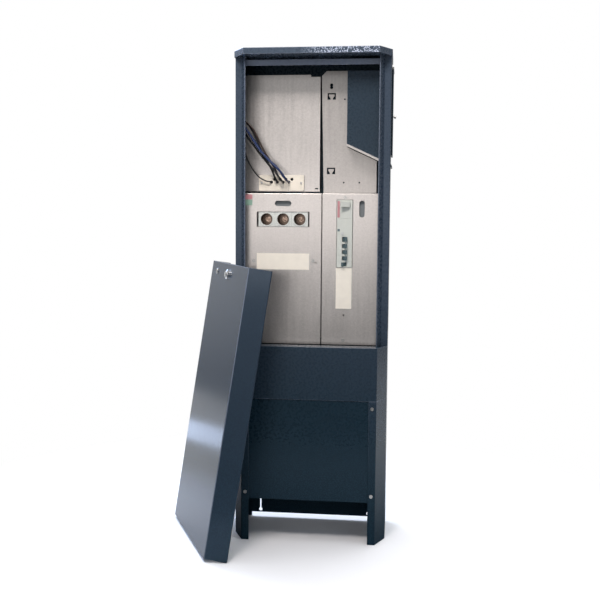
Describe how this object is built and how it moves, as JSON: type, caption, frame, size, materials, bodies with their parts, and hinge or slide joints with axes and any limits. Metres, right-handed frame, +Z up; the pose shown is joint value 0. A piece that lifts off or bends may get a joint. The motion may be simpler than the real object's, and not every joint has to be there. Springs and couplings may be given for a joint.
{
  "type": "electricity meter cabinet",
  "caption": "Tall free-standing sheet-steel electricity meter cabinet on two legs, with its lift-off door leaning beside it, open boards, fuse sockets, a breaker row and loose meter wires.",
  "frame": {"origin": "ground level under the middle of the cabinet's front face", "axes": "+X to the right seen from the front, +Y to the back, +Z up"},
  "size_m": [0.6659, 0.4509, 1.4],
  "materials": {
    "hammertone_paint": "semi-gloss hammertone",
    "galvanised_sheet": "satin",
    "zinc_steel": "satin",
    "pale_plastic": "matte",
    "grey_ceramic": "glazed",
    "brass": "satin",
    "device_plastic": "matte",
    "dark_plastic": "satin",
    "button_plastic": "satin",
    "black_rubber": "matte",
    "blue_insulation": "satin",
    "black_insulation": "satin",
    "brown_insulation": "satin",
    "chrome": "polished"
  },
  "bodies": {
    "cabinet": {"back_panel": "hammertone_paint", "base_cover": "hammertone_paint", "base_cover_screws": "zinc_steel", "blank_plug": "hammertone_paint", "breakers": "device_plastic", "cable_bushes": "black_rubber", "cable_plate": "pale_plastic", "cable_plate_screws": "zinc_steel", "cover_screws": "zinc_steel", "cover_spacers": "zinc_steel", "din_rail": "zinc_steel", "door_shell": "hammertone_paint", "drip_lip": "hammertone_paint", "earth_block": "device_plastic", "equipment_plate": "galvanised_sheet", "flap_hinge": "zinc_steel", "front_band": "hammertone_paint", "fuse_base_1": "grey_ceramic", "fuse_base_2": "grey_ceramic", "fuse_base_3": "grey_ceramic", "fuse_contacts": "brass", "fuse_shells": "brass", "left_cover": "galvanised_sheet", "left_label": "pale_plastic", "left_side": "hammertone_paint", "lock_housing": "chrome", "lock_nut": "zinc_steel", "lower_back_plate": "hammertone_paint", "main_switch": "device_plastic", "main_terminals": "dark_plastic", "meter_board": "galvanised_sheet", "neutral_block": "device_plastic", "niche_box": "hammertone_paint", "niche_tray": "galvanised_sheet", "outlet_socket": "device_plastic", "rcd": "device_plastic", "rcd_flag": "dark_plastic", "right_cover": "galvanised_sheet", "right_label": "pale_plastic", "right_plate": "galvanised_sheet", "right_side": "hammertone_paint", "roof_cap": "hammertone_paint", "terminal_bolts": "brass", "top_rail": "hammertone_paint", "wire_black_1": "black_insulation", "wire_black_2": "black_insulation", "wire_blue_1": "blue_insulation", "wire_blue_2": "blue_insulation", "wire_brown": "brown_insulation", "wire_thin": "black_insulation"},
    "flap": {"side_flap": "hammertone_paint", "flap_knob": "zinc_steel"},
    "main_toggle": {"main_toggle": "device_plastic"},
    "rcd_toggle": {"rcd_toggle": "dark_plastic"},
    "test_button": {"test_button": "button_plastic"},
    "lock": {"lock_core": "chrome"},
    "breaker_toggle_1": {"breaker_toggle_1": "dark_plastic"},
    "breaker_toggle_2": {"breaker_toggle_2": "dark_plastic"},
    "breaker_toggle_3": {"breaker_toggle_3": "dark_plastic"},
    "breaker_toggle_4": {"breaker_toggle_4": "dark_plastic"}
  },
  "joints": [
    {"name": "flap_turn", "type": "hinge", "parent": "cabinet", "child": "flap", "pos_m": [0.2244, 0.154, 1.3565], "axis": [0, -1, 0], "range_deg": [0, 90]},
    {"name": "main_toggle_turn", "type": "hinge", "parent": "cabinet", "child": "main_toggle", "pos_m": [0.0885, 0.079, 0.9715], "axis": [0, 0, 1], "range_deg": [-44, 0]},
    {"name": "rcd_toggle_turn", "type": "hinge", "parent": "cabinet", "child": "rcd_toggle", "pos_m": [0.0935, 0.079, 0.872], "axis": [0, 0, 1], "range_deg": [-44, 0]},
    {"name": "breaker_toggle_1_turn", "type": "hinge", "parent": "cabinet", "child": "breaker_toggle_1", "pos_m": [0.0935, 0.079, 0.85275], "axis": [0, 0, 1], "range_deg": [-44, 0]},
    {"name": "breaker_toggle_2_turn", "type": "hinge", "parent": "cabinet", "child": "breaker_toggle_2", "pos_m": [0.0935, 0.079, 0.83525], "axis": [0, 0, 1], "range_deg": [-44, 0]},
    {"name": "breaker_toggle_3_turn", "type": "hinge", "parent": "cabinet", "child": "breaker_toggle_3", "pos_m": [0.0935, 0.079, 0.81775], "axis": [0, 0, 1], "range_deg": [-44, 0]},
    {"name": "breaker_toggle_4_turn", "type": "hinge", "parent": "cabinet", "child": "breaker_toggle_4", "pos_m": [0.0935, 0.079, 0.80025], "axis": [0, 0, 1], "range_deg": [0, 44]},
    {"name": "test_button_press", "type": "slide", "parent": "cabinet", "child": "test_button", "axis": [0, 1, 0], "range_m": [0, 0.0018], "stiffness_N_per_m": 300},
    {"name": "lock_turn", "type": "hinge", "parent": "cabinet", "child": "lock", "pos_m": [-0.23843, 0.0417, 0.76881], "axis": [-0.8875, -0.4329, 0.1582], "range_deg": [0, 90]}
  ]
}
